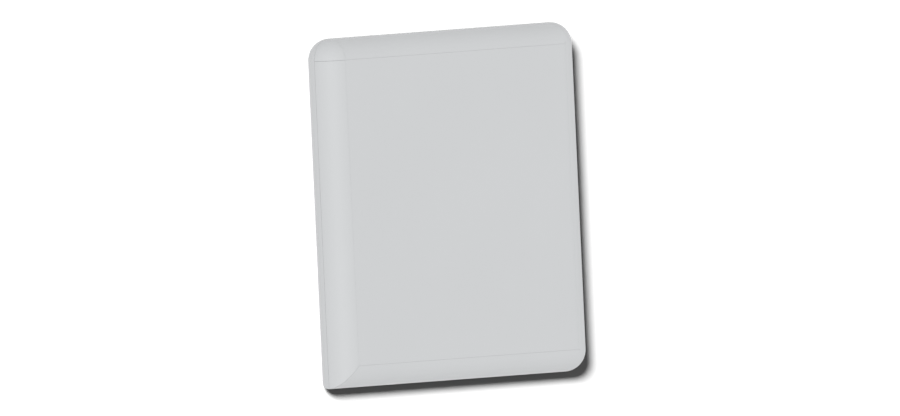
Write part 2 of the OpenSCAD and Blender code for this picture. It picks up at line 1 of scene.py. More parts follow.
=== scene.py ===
"""A wall-hung surveillance gate panel: its stage, its mouldings, and what it holds inside."""
import bpy
import math
import numpy as np
from mathutils import Matrix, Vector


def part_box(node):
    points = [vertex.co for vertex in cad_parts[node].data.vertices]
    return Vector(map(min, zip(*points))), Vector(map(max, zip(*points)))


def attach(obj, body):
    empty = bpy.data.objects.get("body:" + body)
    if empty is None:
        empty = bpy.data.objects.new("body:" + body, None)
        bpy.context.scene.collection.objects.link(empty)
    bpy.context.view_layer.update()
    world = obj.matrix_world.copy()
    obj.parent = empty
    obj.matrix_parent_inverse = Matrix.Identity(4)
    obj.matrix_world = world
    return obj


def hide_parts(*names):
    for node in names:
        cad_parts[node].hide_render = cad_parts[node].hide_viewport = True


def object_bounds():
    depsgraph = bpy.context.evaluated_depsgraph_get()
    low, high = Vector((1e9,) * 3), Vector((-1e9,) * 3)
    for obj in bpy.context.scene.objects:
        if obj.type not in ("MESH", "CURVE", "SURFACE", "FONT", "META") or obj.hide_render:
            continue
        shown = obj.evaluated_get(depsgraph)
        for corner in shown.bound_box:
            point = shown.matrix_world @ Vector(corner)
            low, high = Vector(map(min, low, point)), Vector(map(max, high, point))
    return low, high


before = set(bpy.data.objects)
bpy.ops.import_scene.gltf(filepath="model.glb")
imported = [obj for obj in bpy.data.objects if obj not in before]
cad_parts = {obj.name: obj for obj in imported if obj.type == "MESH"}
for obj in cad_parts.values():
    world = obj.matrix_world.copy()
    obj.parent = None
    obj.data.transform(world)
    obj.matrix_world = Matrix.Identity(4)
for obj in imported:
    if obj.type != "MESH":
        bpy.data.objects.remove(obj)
cad_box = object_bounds()
panel_low = np.array(cad_box[0])
panel_high = np.array(cad_box[1])


# ---- Camera ------------------------------------------------------------------------------------
# A parallel view of the panel from its left and just above, so that parallel edges stay parallel.
# The camera is rolled a little, so that the panel leans to the left.

view_left = math.radians(44.0)
view_up = math.radians(1.74)
view_roll = math.radians(-2.6)
view_distance = 4.0
view_width = 2.057
aim_right = 0.0072
aim_up = -0.0069

toward_camera = np.array([-math.sin(view_left) * math.cos(view_up),
                          -math.cos(view_left) * math.cos(view_up), math.sin(view_up)])
level_right = np.array([math.cos(view_left), -math.sin(view_left), 0.0])
level_up = np.cross(toward_camera, level_right)
camera_right = level_right * math.cos(view_roll) + level_up * math.sin(view_roll)
camera_up = level_up * math.cos(view_roll) - level_right * math.sin(view_roll)

lens = bpy.data.cameras.new("camera")
lens.type = "ORTHO"
lens.ortho_scale = view_width
lens.clip_end = 3 * view_distance
camera = bpy.data.objects.new("camera", lens)
bpy.context.scene.collection.objects.link(camera)
bpy.context.scene.camera = camera

panel_middle = (panel_low + panel_high) / 2
aim = panel_middle + camera_right * aim_right + camera_up * aim_up
place = aim + toward_camera * view_distance
turn = np.column_stack([camera_right, camera_up, toward_camera])
pose = np.eye(4)
pose[:3, :3] = turn
pose[:3, 3] = place
camera.matrix_world = Matrix(pose.tolist())


# ---- Stage -------------------------------------------------------------------------------------
# A wall, clear from its back, stands right behind the panel, and a pale floor lies below. Neither
# lights, shades or reflects in the panel. The wall's own lamp whitens it and throws the panel's
# shadow to the right and down. The white sky's soft light fades towards straight up and down.

wall_half = 4.0
floor_z = -1.1
room_depth = 5.0
wall_gap = 0.0005


def plain_sheet(name, corners):
    """A flat four-cornered face through the corners given in order, facing along their normal."""
    mesh = bpy.data.meshes.new(name)
    mesh.from_pydata([tuple(c) for c in corners], [], [(0, 1, 2, 3)])
    sheet = bpy.data.objects.new(name, mesh)
    bpy.context.scene.collection.objects.link(sheet)
    return sheet


wall = plain_sheet("wall", [(-wall_half, wall_gap, floor_z), (wall_half, wall_gap, floor_z),
                            (wall_half, wall_gap, wall_half), (-wall_half, wall_gap, wall_half)])
floor = plain_sheet("floor", [(-wall_half, -room_depth, floor_z), (wall_half, -room_depth, floor_z),
                              (wall_half, room_depth, floor_z), (-wall_half, room_depth, floor_z)])
for sheet in (wall, floor):
    sheet.visible_diffuse = False
    sheet.visible_glossy = False
    sheet.visible_shadow = False

wall_paint = bpy.data.materials.new("wall_paint")
wall_paint.use_nodes = True
nodes, links = wall_paint.node_tree.nodes, wall_paint.node_tree.links
nodes.clear()
wall_matt = nodes.new("ShaderNodeBsdfDiffuse")
wall_matt.inputs["Color"].default_value = (0.07, 0.07, 0.07, 1)
see_through = nodes.new("ShaderNodeBsdfTransparent")
face_side = nodes.new("ShaderNodeNewGeometry")
side_mix = nodes.new("ShaderNodeMixShader")
wall_out = nodes.new("ShaderNodeOutputMaterial")
links.new(face_side.outputs["Backfacing"], side_mix.inputs["Fac"])
links.new(wall_matt.outputs[0], side_mix.inputs[1])
links.new(see_through.outputs[0], side_mix.inputs[2])
links.new(side_mix.outputs[0], wall_out.inputs["Surface"])
wall.data.materials.append(wall_paint)

floor_paint = bpy.data.materials.new("floor_paint")
floor_paint.use_nodes = True
floor_shader = floor_paint.node_tree.nodes["Principled BSDF"]
floor_shader.inputs["Base Color"].default_value = (0.8, 0.8, 0.79, 1)
floor_shader.inputs["Roughness"].default_value = 0.7
floor.data.materials.append(floor_paint)


def far_lamp(name, travel, strength, spread):
    """A lamp as far as the sun, whose light travels along the vector, spread over an angle."""
    lamp = bpy.data.lights.new(name, "SUN")
    lamp.energy = strength
    lamp.angle = math.radians(spread)
    holder = bpy.data.objects.new(name, lamp)
    back = -np.array(travel, float)
    back /= np.linalg.norm(back)
    side = np.cross((0, 0, 1), back)
    side /= np.linalg.norm(side)
    turned = np.eye(4)
    turned[:3, :3] = np.column_stack([side, np.cross(back, side), back])
    holder.matrix_world = Matrix(turned.tolist())
    bpy.context.scene.collection.objects.link(holder)
    return holder


key_azimuth = math.radians(41)
far_lamp("key_lamp", (math.sin(key_azimuth), math.cos(key_azimuth), 0.03), 0.72, 50)
far_lamp("rear_lamp", (-0.6, -0.75, 0.0), 0.35, 60)
wall_lamp = far_lamp("wall_lamp", (1.21, 1.0, -0.42), 80.0, 11)
wall_only = bpy.data.collections.new("wall_only")
wall_only.objects.link(wall)
wall_lamp.light_linking.receiver_collection = wall_only

world = bpy.data.worlds.new("studio")
bpy.context.scene.world = world
world.use_nodes = True
nodes, links = world.node_tree.nodes, world.node_tree.links
nodes.clear()
soft_light = nodes.new("ShaderNodeBackground")
heading = nodes.new("ShaderNodeNewGeometry")
height = nodes.new("ShaderNodeSeparateXYZ")
steep = nodes.new("ShaderNodeMath")
steep.operation = "ABSOLUTE"
fall_off = nodes.new("ShaderNodeMapRange")
fall_off.inputs["To Min"].default_value = 1.0
fall_off.inputs["To Max"].default_value = 0.68
links.new(heading.outputs["Incoming"], height.inputs[0])
links.new(height.outputs["Z"], steep.inputs[0])
links.new(steep.outputs["Value"], fall_off.inputs["Value"])
links.new(fall_off.outputs["Result"], soft_light.inputs["Strength"])
white_view = nodes.new("ShaderNodeBackground")
white_view.inputs["Strength"].default_value = 1.0
for sky in (soft_light, white_view):
    sky.inputs["Color"].default_value = (1, 1, 1, 1)
ray = nodes.new("ShaderNodeLightPath")
seen = nodes.new("ShaderNodeMath")
seen.operation = "MAXIMUM"
seen_glass = nodes.new("ShaderNodeMath")
seen_glass.operation = "MAXIMUM"
sky_mix = nodes.new("ShaderNodeMixShader")
sky_out = nodes.new("ShaderNodeOutputWorld")
links.new(ray.outputs["Is Camera Ray"], seen.inputs[0])
links.new(ray.outputs["Is Glossy Ray"], seen.inputs[1])
links.new(seen.outputs[0], seen_glass.inputs[0])
links.new(ray.outputs["Is Transmission Ray"], seen_glass.inputs[1])
links.new(seen_glass.outputs[0], sky_mix.inputs["Fac"])
links.new(soft_light.outputs[0], sky_mix.inputs[1])
links.new(white_view.outputs[0], sky_mix.inputs[2])
links.new(sky_mix.outputs[0], sky_out.inputs["Surface"])
bpy.context.scene.view_settings.view_transform = "Standard"


# ---- Moulded shells ----------------------------------------------------------------------------
# The front sheet, the round edge strips, the corner cap, the rear tray and its door are moulded in
# one grey plastic with a fine spark-eroded grain, so that they match where they meet.

shell_grey = (0.592, 0.603, 0.612)


def plastic(name, color, grain, roughness, depth):
    """Moulded plastic: a fine raised grain that also speckles its gloss, and a faint cloud of colour."""
    mat = bpy.data.materials.new(name)
    mat.use_nodes = True
    nodes, links = mat.node_tree.nodes, mat.node_tree.links
    shader = nodes["Principled BSDF"]
    shader.inputs["Specular IOR Level"].default_value = 0.3
    coords = nodes.new("ShaderNodeTexCoord")
    skin = nodes.new("ShaderNodeGroup")
    skin.node_tree = moulded_skin()
    skin.inputs["Color"].default_value = (*color, 1)
    skin.inputs["Grain Scale"].default_value = grain
    skin.inputs["Grain Depth"].default_value = depth
    skin.inputs["Roughness"].default_value = roughness
    links.new(coords.outputs["Object"], skin.inputs["Place"])
    for plug in ("Color", "Roughness", "Normal"):
        links.new(skin.outputs[plug], shader.inputs["Base Color" if plug == "Color" else plug])
    return mat


def moulded_skin():
    """The shared group: cloudy colour, speckled gloss and a raised grain, from the place given."""
    found = bpy.data.node_groups.get("moulded_skin")
    if found:
        return found
    group = bpy.data.node_groups.new("moulded_skin", "ShaderNodeTree")
    face = group.interface
    face.new_socket("Place", in_out="INPUT", socket_type="NodeSocketVector")
    face.new_socket("Color", in_out="INPUT", socket_type="NodeSocketColor")
    for plug in ("Grain Scale", "Grain Depth", "Roughness"):
        face.new_socket(plug, in_out="INPUT", socket_type="NodeSocketFloat")
    face.new_socket("Color", in_out="OUTPUT", socket_type="NodeSocketColor")
    face.new_socket("Roughness", in_out="OUTPUT", socket_type="NodeSocketFloat")
    face.new_socket("Normal", in_out="OUTPUT", socket_type="NodeSocketVector")
    nodes, links = group.nodes, group.links
    into = nodes.new("NodeGroupInput")
    out = nodes.new("NodeGroupOutput")
    grain = nodes.new("ShaderNodeTexNoise")
    grain.inputs["Detail"].default_value = 3
    cloud = nodes.new("ShaderNodeTexNoise")
    cloud.inputs["Scale"].default_value = 5
    cloud.inputs["Detail"].default_value = 4
    links.new(into.outputs["Place"], grain.inputs["Vector"])
    links.new(into.outputs["Place"], cloud.inputs["Vector"])
    links.new(into.outputs["Grain Scale"], grain.inputs["Scale"])
    bump = nodes.new("ShaderNodeBump")
    bump.inputs["Distance"].default_value = 0.0001
    links.new(grain.outputs["Fac"], bump.inputs["Height"])
    links.new(into.outputs["Grain Depth"], bump.inputs["Strength"])
    links.new(bump.outputs["Normal"], out.inputs["Normal"])
    shade = nodes.new("ShaderNodeMapRange")
    shade.inputs["To Min"].default_value = 0.985
    shade.inputs["To Max"].default_value = 1.015
    links.new(cloud.outputs["Fac"], shade.inputs["Value"])
    tint = nodes.new("ShaderNodeVectorMath")
    tint.operation = "SCALE"
    links.new(into.outputs["Color"], tint.inputs[0])
    links.new(shade.outputs["Result"], tint.inputs["Scale"])
    links.new(tint.outputs["Vector"], out.inputs["Color"])
    speckle = nodes.new("ShaderNodeMapRange")
    speckle.inputs["To Min"].default_value = -0.06
    speckle.inputs["To Max"].default_value = 0.06
    links.new(grain.outputs["Fac"], speckle.inputs["Value"])
    gloss = nodes.new("ShaderNodeMath")
    gloss.operation = "ADD"
    links.new(speckle.outputs["Result"], gloss.inputs[0])
    links.new(into.outputs["Roughness"], gloss.inputs[1])
    links.new(gloss.outputs["Value"], out.inputs["Roughness"])
    return group


def coat(mat, *names):
    """The CAD parts with these names get the material in every slot."""
    for name in names:
        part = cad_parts[name]
        if not part.material_slots:
            part.data.materials.append(mat)
        for slot in part.material_slots:
            slot.material = mat


shell_plastic = plastic("shell_plastic", shell_grey, 1800, 0.5, 0.25)
coat(shell_plastic, "front_panel", "front_frame", "left_edge_strip", "corner_cap", "rear_shell")
door_plastic = plastic("door_plastic", shell_grey, 1500, 0.52, 0.35)
coat(door_plastic, "service_door")


# ---- Seals and foam tape -----------------------------------------------------------------------
# A dark gasket fills the parting line between the two shells, another runs round the door's
# ledge, and a third sits in the cable gland. White foam tape bonds the front sheet to its flange.

seal_rubber = plastic("seal_rubber", (0.13, 0.13, 0.134), 900, 0.78, 0.5)
coat(seal_rubber, "parting_gasket", "door_gasket", "gland_seal")
foam_tape = plastic("foam_tape", (0.78, 0.78, 0.75), 2600, 0.9, 0.9)
coat(foam_tape, "front_bond_tape")


# ---- Spacers, coil brackets and clamps ---------------------------------------------------------
# They are moulded in undyed nylon, with a soft sheen. Posts keep the front and the back apart,
# brackets on the back hold the coils, and clamps close over them.

undyed_nylon = plastic("undyed_nylon", (0.72, 0.71, 0.66), 700, 0.42, 0.3)
coat(undyed_nylon, "spacer_posts", "coil_brackets", "coil_clamps")


# ---- Screws and pins ---------------------------------------------------------------------------
# Screws, the toroid's bolt and the hinge and rocker pins are steel, plated with zinc: bright and
# faintly blue, with fine crystals and a duller haze in patches.


def metal(name, color, roughness, stretch, streak):
    """Bare metal: noise drawn out by the stretch streaks its colour and relief, and a haze dulls it."""
    mat = bpy.data.materials.new(name)
    mat.use_nodes = True
    nodes, links = mat.node_tree.nodes, mat.node_tree.links
    shader = nodes["Principled BSDF"]
    shader.inputs["Metallic"].default_value = 1.0
    coords = nodes.new("ShaderNodeTexCoord")
    skin = nodes.new("ShaderNodeGroup")
    skin.node_tree = drawn_metal()
    skin.inputs["Color"].default_value = (*color, 1)
    skin.inputs["Stretch"].default_value = stretch
    skin.inputs["Streak"].default_value = streak
    skin.inputs["Roughness"].default_value = roughness
    links.new(coords.outputs["Object"], skin.inputs["Place"])
    for plug in ("Color", "Roughness", "Normal"):
        links.new(skin.outputs[plug], shader.inputs["Base Color" if plug == "Color" else plug])
    return mat


def drawn_metal():
    """The shared group: streaks of noise in the colour and the relief, and a haze in the gloss."""
    found = bpy.data.node_groups.get("drawn_metal")
    if found:
        return found
    group = bpy.data.node_groups.new("drawn_metal", "ShaderNodeTree")
    face = group.interface
    face.new_socket("Place", in_out="INPUT", socket_type="NodeSocketVector")
    face.new_socket("Stretch", in_out="INPUT", socket_type="NodeSocketVector")
    face.new_socket("Color", in_out="INPUT", socket_type="NodeSocketColor")
    for plug in ("Streak", "Roughness"):
        face.new_socket(plug, in_out="INPUT", socket_type="NodeSocketFloat")
    face.new_socket("Color", in_out="OUTPUT", socket_type="NodeSocketColor")
    face.new_socket("Roughness", in_out="OUTPUT", socket_type="NodeSocketFloat")
    face.new_socket("Normal", in_out="OUTPUT", socket_type="NodeSocketVector")
    nodes, links = group.nodes, group.links
    into = nodes.new("NodeGroupInput")
    out = nodes.new("NodeGroupOutput")
    drawn = nodes.new("ShaderNodeVectorMath")
    drawn.operation = "MULTIPLY"
    links.new(into.outputs["Place"], drawn.inputs[0])
    links.new(into.outputs["Stretch"], drawn.inputs[1])
    streaks = nodes.new("ShaderNodeTexNoise")
    streaks.inputs["Scale"].default_value = 1.0
    streaks.inputs["Detail"].default_value = 4
    links.new(drawn.outputs["Vector"], streaks.inputs["Vector"])
    haze = nodes.new("ShaderNodeTexNoise")
    haze.inputs["Scale"].default_value = 22
    haze.inputs["Detail"].default_value = 3
    links.new(into.outputs["Place"], haze.inputs["Vector"])
    spread = nodes.new("ShaderNodeMath")
    spread.operation = "SUBTRACT"
    spread.inputs[1].default_value = 0.5
    links.new(streaks.outputs["Fac"], spread.inputs[0])
    amount = nodes.new("ShaderNodeMath")
    amount.operation = "MULTIPLY"
    links.new(spread.outputs["Value"], amount.inputs[0])
    links.new(into.outputs["Streak"], amount.inputs[1])
    bright = nodes.new("ShaderNodeMath")
    bright.operation = "ADD"
    bright.inputs[1].default_value = 1.0
    links.new(amount.outputs["Value"], bright.inputs[0])
    tint = nodes.new("ShaderNodeVectorMath")
    tint.operation = "SCALE"
    links.new(into.outputs["Color"], tint.inputs[0])
    links.new(bright.outputs["Value"], tint.inputs["Scale"])
    links.new(tint.outputs["Vector"], out.inputs["Color"])
    dull = nodes.new("ShaderNodeMapRange")
    dull.inputs["To Min"].default_value = -0.05
    dull.inputs["To Max"].default_value = 0.08
    links.new(haze.outputs["Fac"], dull.inputs["Value"])
    gloss = nodes.new("ShaderNodeMath")
    gloss.operation = "ADD"
    links.new(dull.outputs["Result"], gloss.inputs[0])
    links.new(into.outputs["Roughness"], gloss.inputs[1])
    links.new(gloss.outputs["Value"], out.inputs["Roughness"])
    bump = nodes.new("ShaderNodeBump")
    bump.inputs["Distance"].default_value = 0.00005
    bump.inputs["Strength"].default_value = 0.3
    links.new(streaks.outputs["Fac"], bump.inputs["Height"])
    links.new(bump.outputs["Normal"], out.inputs["Normal"])
    return group


zinc_steel = metal("zinc_steel", (0.50, 0.515, 0.54), 0.3, (900, 900, 900), 0.25)
coat(zinc_steel, "shell_screws", "clamp_screws", "tray_screws", "board_screws", "toroid_bolt",
     "cleat_screws", "hinge_pins", "rocker_pin")


# ---- Wound coils -------------------------------------------------------------------------------
# Each antenna coil is a bundle of varnished copper turns. It is laced together with flat white
# cord every 9 cm, and follows the rounded rectangle that its brackets hold.

winding_varnish = metal("winding_varnish", (0.62, 0.26, 0.09), 0.32, (260, 2600, 260), 0.5)
lacing_cord = plastic("lacing_cord", (0.75, 0.74, 0.69), 2200, 0.8, 0.8)


def grid_piece(name, points, mats, second=None):
    """A surface through points[i, j], closed round both i and j.

    A face whose row i has second[i] set takes the second material. The sign of the volume that
    the faces enclose says whether they have to be turned over, so that they face outwards.
    """
    rows, cols = points.shape[:2]
    verts = points.reshape(-1, 3)
    here = np.arange(rows * cols).reshape(rows, cols)
    after, above = np.roll(here, -1, 1), np.roll(here, -1, 0)
    faces = np.stack([here, after, np.roll(above, -1, 1), above], -1).reshape(-1, 4)
    slots = np.repeat(np.zeros(rows, int) if second is None else second.astype(int), cols)
    quads = verts[faces]
    volume = np.sum(quads[:, 0] * np.cross(quads[:, 1] - quads[:, 0], quads[:, 2] - quads[:, 0]))
    if volume < 0:
        faces = faces[:, ::-1]
    return joined(name, [(verts, faces.tolist(), slots.tolist())], mats)


def joined(name, shapes, mats):
    """One smooth piece made of several closed shapes, given as (points, faces, material slots)."""
    verts, faces, slots, start = [], [], [], 0
    for points, polygons, kinds in shapes:
        verts += np.asarray(points).tolist()
        faces += [tuple(start + k for k in f) for f in polygons]
        slots += list(kinds)
        start += len(points)
    mesh = bpy.data.meshes.new(name)
    mesh.from_pydata(verts, [], faces)
    mesh.polygons.foreach_set("material_index", slots)
    mesh.polygons.foreach_set("use_smooth", [True] * len(faces))
    for mat in mats:
        mesh.materials.append(mat)
    piece = bpy.data.objects.new(name, mesh)
    bpy.context.scene.collection.objects.link(piece)
    return piece


def wound_coil(name, node, turns_wide=8, turns_deep=6):
    """A bundle of round turns swept along the rounded rectangle of its CAD coil.

    The profile is a rounded square, u = a |cos t|^0.4, v = b |sin t|^0.4. Its 2 n outer turns,
    n = turns_wide + turns_deep, take 0.3 mm (1 - |sin(n t)|) off a and b. Each cord adds 3.3%.
    """
    low, high = (np.array(c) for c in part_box(node))
    middle = (low + high) / 2
    bundle, corner = 0.016, 0.060
    bend = corner - bundle / 2
    half_wide, half_deep, groove, squareness = 0.0076, 0.0056, 0.0003, 0.4
    along_step, bend_steps = 0.0025, 32
    cord_pitch, cord_width, cord_swell = 0.09, 0.006, 0.033
    half_w = (high[0] - low[0] - bundle) / 2
    half_h = (high[2] - low[2] - bundle) / 2
    lengths = [2 * (half_h - bend), 2 * (half_w - bend)] * 2
    path, out = [], []
    for k in range(4):
        a = k * math.pi / 2
        n = np.array([math.cos(a), math.sin(a)])
        along = np.array([-math.sin(a), math.cos(a)])
        reach = half_w if k % 2 == 0 else half_h
        steps = int(lengths[k] / along_step)
        s = np.linspace(-lengths[k] / 2, lengths[k] / 2, steps, endpoint=False)[:, None]
        turn_by = np.linspace(0, math.pi / 2, bend_steps, endpoint=False)[:, None]
        m = n * np.cos(turn_by) + along * np.sin(turn_by)
        centre = n * (reach - bend) + along * lengths[k] / 2
        path += [n * reach + along * s, centre + m * bend]
        out += [np.tile(n, (steps, 1)), m]
    path, out = np.concatenate(path), np.concatenate(out)
    step = np.linalg.norm(np.roll(path, -1, 0) - path, axis=1)
    run = np.concatenate([[0], np.cumsum(step)[:-1]])
    tied = (run % cord_pitch) < cord_width
    t = np.linspace(0, 2 * math.pi, 2 * (turns_wide + turns_deep) * 3, endpoint=False)
    scallop = groove * (1 - np.abs(np.sin((turns_wide + turns_deep) * t)))
    wide = (half_wide - scallop) * np.sign(np.cos(t)) * np.abs(np.cos(t)) ** squareness
    deep = (half_deep - scallop) * np.sign(np.sin(t)) * np.abs(np.sin(t)) ** squareness
    swell = 1 + cord_swell * tied[:, None]
    points = np.empty((len(path), len(t), 3))
    points[..., 0] = middle[0] + path[:, None, 0] + out[:, None, 0] * wide * swell
    points[..., 2] = middle[2] + path[:, None, 1] + out[:, None, 1] * wide * swell
    points[..., 1] = middle[1] + deep * swell
    coil = grid_piece(name, points, [winding_varnish, lacing_cord], second=tied)
    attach(coil, "panel")
    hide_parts(node)
    return coil


wound_coil("upper_winding", "upper_coil")
wound_coil("lower_winding", "lower_coil")


# ---- Chassis tray ------------------------------------------------------------------------------
# A tray of bare aluminium sheet carries the whole controller, and screws hold it in the panel.
# Rolling has left fine streaks along its width.

rolled_aluminium = metal("rolled_aluminium", (0.66, 0.67, 0.68), 0.34, (18, 1500, 1500), 0.3)
coat(rolled_aluminium, "chassis_tray")


# ---- Main board --------------------------------------------------------------------------------
# A green lacquered circuit board on turned brass posts, with tinned pads and tracks that show
# through the lacquer as a lighter green.


def board_lacquer():
    """Green lacquer: a brick pattern's joints are the tracks and a cell pattern's middles the pads."""
    mat = bpy.data.materials.new("board_lacquer")
    mat.use_nodes = True
    nodes, links = mat.node_tree.nodes, mat.node_tree.links
    shader = nodes["Principled BSDF"]
    shader.inputs["Coat Weight"].default_value = 0.4
    coords = nodes.new("ShaderNodeTexCoord")
    flat = nodes.new("ShaderNodeSeparateXYZ")
    links.new(coords.outputs["Object"], flat.inputs[0])
    face_on = nodes.new("ShaderNodeCombineXYZ")
    links.new(flat.outputs["X"], face_on.inputs["X"])
    links.new(flat.outputs["Z"], face_on.inputs["Y"])
    tracks = nodes.new("ShaderNodeTexBrick")
    tracks.inputs["Color1"].default_value = (0.012, 0.13, 0.05, 1)
    tracks.inputs["Color2"].default_value = (0.016, 0.16, 0.062, 1)
    tracks.inputs["Mortar"].default_value = (0.04, 0.28, 0.10, 1)
    tracks.inputs["Scale"].default_value = 60
    tracks.inputs["Mortar Size"].default_value = 0.035
    tracks.inputs["Brick Width"].default_value = 0.9
    tracks.inputs["Row Height"].default_value = 0.22
    links.new(face_on.outputs[0], tracks.inputs["Vector"])
    pads = nodes.new("ShaderNodeTexVoronoi")
    pads.inputs["Scale"].default_value = 190
    pads.inputs["Randomness"].default_value = 0.6
    links.new(face_on.outputs[0], pads.inputs["Vector"])
    pad_edge = nodes.new("ShaderNodeMapRange")
    pad_edge.inputs["From Min"].default_value = 0.20
    pad_edge.inputs["From Max"].default_value = 0.16
    links.new(pads.outputs["Distance"], pad_edge.inputs["Value"])
    tinned = nodes.new("ShaderNodeMix")
    tinned.data_type = "RGBA"
    tinned.inputs["B"].default_value = (0.6, 0.61, 0.62, 1)
    links.new(pad_edge.outputs["Result"], tinned.inputs["Factor"])
    links.new(tracks.outputs["Color"], tinned.inputs["A"])
    links.new(tinned.outputs["Result"], shader.inputs["Base Color"])
    links.new(pad_edge.outputs["Result"], shader.inputs["Metallic"])
    gloss = nodes.new("ShaderNodeMapRange")
    gloss.inputs["To Min"].default_value = 0.32
    gloss.inputs["To Max"].default_value = 0.22
    links.new(tracks.outputs["Fac"], gloss.inputs["Value"])
    links.new(gloss.outputs["Result"], shader.inputs["Roughness"])
    relief = nodes.new("ShaderNodeBump")
    relief.inputs["Distance"].default_value = 0.00008
    links.new(tracks.outputs["Fac"], relief.inputs["Height"])
    links.new(relief.outputs["Normal"], shader.inputs["Normal"])
    return mat


coat(board_lacquer(), "main_board")
turned_brass = metal("turned_brass", (0.78, 0.58, 0.26), 0.24, (300, 2500, 300), 0.2)
coat(turned_brass, "board_standoffs")


# ---- Board parts -------------------------------------------------------------------------------
# Lacquered resistors and chips moulded in black epoxy stand on tinned legs between the board's
# large parts. Small electrolytic cans in plastic sleeves stand beside them.

board_low, board_high = (np.array(c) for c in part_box("main_board"))
board_top = board_high[1]
epoxy_black = plastic("epoxy_black", (0.035, 0.035, 0.037), 2400, 0.45, 0.5)
resistor_lacquer = plastic("resistor_lacquer", (0.58, 0.44, 0.26), 1800, 0.35, 0.2)
band_ink = plastic("band_ink", (0.16, 0.05, 0.02), 1800, 0.35, 0.2)
tinned_wire = metal("tinned_wire", (0.72, 0.72, 0.71), 0.26, (600, 600, 600), 0.2)
can_sleeve = plastic("can_sleeve", (0.03, 0.045, 0.11), 1200, 0.3, 0.15)


def lathed(centre, axis, heights, radii, kinds=None, around=28):
    """A closed shape of revolution about the axis through the centre, of the radii at the heights."""
    axis = np.array(axis, float)
    side = np.array([0, 0, 1.0]) if abs(axis[2]) < 0.5 else np.array([1.0, 0, 0])
    other = np.cross(axis, side)
    t = np.linspace(0, 2 * math.pi, around, endpoint=False)[:, None]
    ring = side * np.cos(t) + other * np.sin(t)
    high, wide = (np.array(v, float)[:, None, None] for v in (heights, radii))
    points = (np.array(centre) + axis * high + wide * ring).reshape(-1, 3)
    last = len(heights) - 1
    kinds = list(kinds) if kinds else [0] * last
    here = np.arange(len(points)).reshape(last + 1, around)
    after = np.roll(here, -1, 1)
    walls = np.stack([after[:-1], after[1:], here[1:], here[:-1]], -1).reshape(-1, 4)
    faces = walls.tolist() + [here[0, ::-1].tolist(), here[-1].tolist()]
    return points, faces, np.repeat(kinds, around).tolist() + [kinds[0], kinds[-1]]


def resistors():
    """Dumb-bell bodies with three colour bands and two legs, closed in to 0.4 mm at each end.

    Their radius is r = 1.0 + 0.25 |sin(pi h / L)|^8 mm at h from the middle of the length L.
    """
    shapes = []
    length, waist, swell, end_radius = 0.0064, 0.0010, 0.00025, 0.0004
    lift, leg_out, stub_out = 0.0014, 0.0042, 0.0037
    row_pitch, column_pitch = 0.011, 0.009
    spots = [(0.030 + row_pitch * i, 0.050) for i in range(5)]
    spots += [(0.014, 0.034 + column_pitch * i) for i in range(4)]
    heights = np.linspace(-length / 2, length / 2, 23)
    radii = waist + swell * np.abs(np.sin(math.pi * heights / length)) ** 8
    radii[[0, -1]] = end_radius
    kinds = [2 if i in (0, 21) else 1 if i in (5, 6, 9, 10, 13, 14) else 0 for i in range(22)]
    for x, z in spots:
        middle = (board_low[0] + x, board_top + lift, board_low[2] + z)
        shapes.append(lathed(middle, (1, 0, 0), heights, radii, kinds, 18))
        for s in (-1, 1):
            leg = middle[0] + s * leg_out
            shapes.append(lathed((leg, board_top, board_low[2] + z), (0, 1, 0),
                                 (0.0, 0.0012, 0.0016), (0.0004, 0.0004, 0.0002), (2, 2), 10))
            shapes.append(lathed((middle[0] + s * stub_out, middle[1], middle[2]), (1, 0, 0),
                                 (-0.0006, 0.0006), (0.00035, 0.00035), (2,), 10))
    return joined("board_resistors", shapes, [resistor_lacquer, band_ink, tinned_wire])


def loft(centre, sizes, heights, kind=0):
    """A closed moulded block: rectangles of the sizes (x, z), one above the other along Y."""
    points, faces = [], []
    for (w, d), h in zip(sizes, heights):
        points += [np.array(centre) + np.array([sx * w / 2, h, sz * d / 2])
                   for sx, sz in ((-1, -1), (1, -1), (1, 1), (-1, 1))]
    last = len(heights) - 1
    for i in range(last):
        for j in range(4):
            k = (j + 1) % 4
            faces.append((4 * i + j, 4 * i + 4 + j, 4 * i + 4 + k, 4 * i + k))
    faces += [(0, 1, 2, 3), tuple(4 * last + j for j in (3, 2, 1, 0))]
    return points, faces, [kind] * len(faces)


def chips():
    """Logic chips: a block drafted 0.4 mm above and below its parting line, on two rows of legs."""
    shapes = []
    leg_pitch, leg_out = 0.00254, 0.0037
    for x, z, legs in ((0.030, 0.070, 7), (0.054, 0.070, 7), (0.034, 0.084, 8)):
        spot = (board_low[0] + x, board_top, board_low[2] + z)
        length = leg_pitch * legs
        shapes.append(loft(spot, [(length - 0.0008, 0.0056), (length, 0.0064), (length, 0.0064),
                                  (length - 0.0008, 0.0056)], (0.0008, 0.0021, 0.0024, 0.0037)))
        for i in range(legs):
            for s in (-1, 1):
                foot = (spot[0] + (i - (legs - 1) / 2) * leg_pitch, board_top, spot[2] + s * leg_out)
                shapes.append(loft(foot, [(0.0005, 0.0003), (0.0005, 0.0003), (0.0014, 0.0003),
                                          (0.0014, 0.0011)], (0.0, 0.0010, 0.0013, 0.0024), 1))
    return joined("board_chips", shapes, [epoxy_black, tinned_wire])


def cans():
    """Electrolytic cans: a sleeve with a crimped waist of depth 0.4 mm near its foot, a bare top."""
    shapes = []
    heights = [0.0, 0.0004, 0.0012, 0.0016, 0.0020, 0.0028, 0.0095, 0.0102, 0.0104, 0.0104]
    radii = [0.0034, 0.0036, 0.0036, 0.0032, 0.0032, 0.0036, 0.0036, 0.0034, 0.0030, 0.0022]
    kinds = [0, 0, 0, 0, 0, 0, 0, 1, 1]
    for x, z in ((0.074, 0.074), (0.084, 0.074), (0.074, 0.085), (0.014, 0.085), (0.014, 0.096)):
        shapes.append(lathed((board_low[0] + x, board_top, board_low[2] + z), (0, 1, 0),
                             heights, radii, kinds))
    return joined("board_cans", shapes, [can_sleeve, tinned_wire])


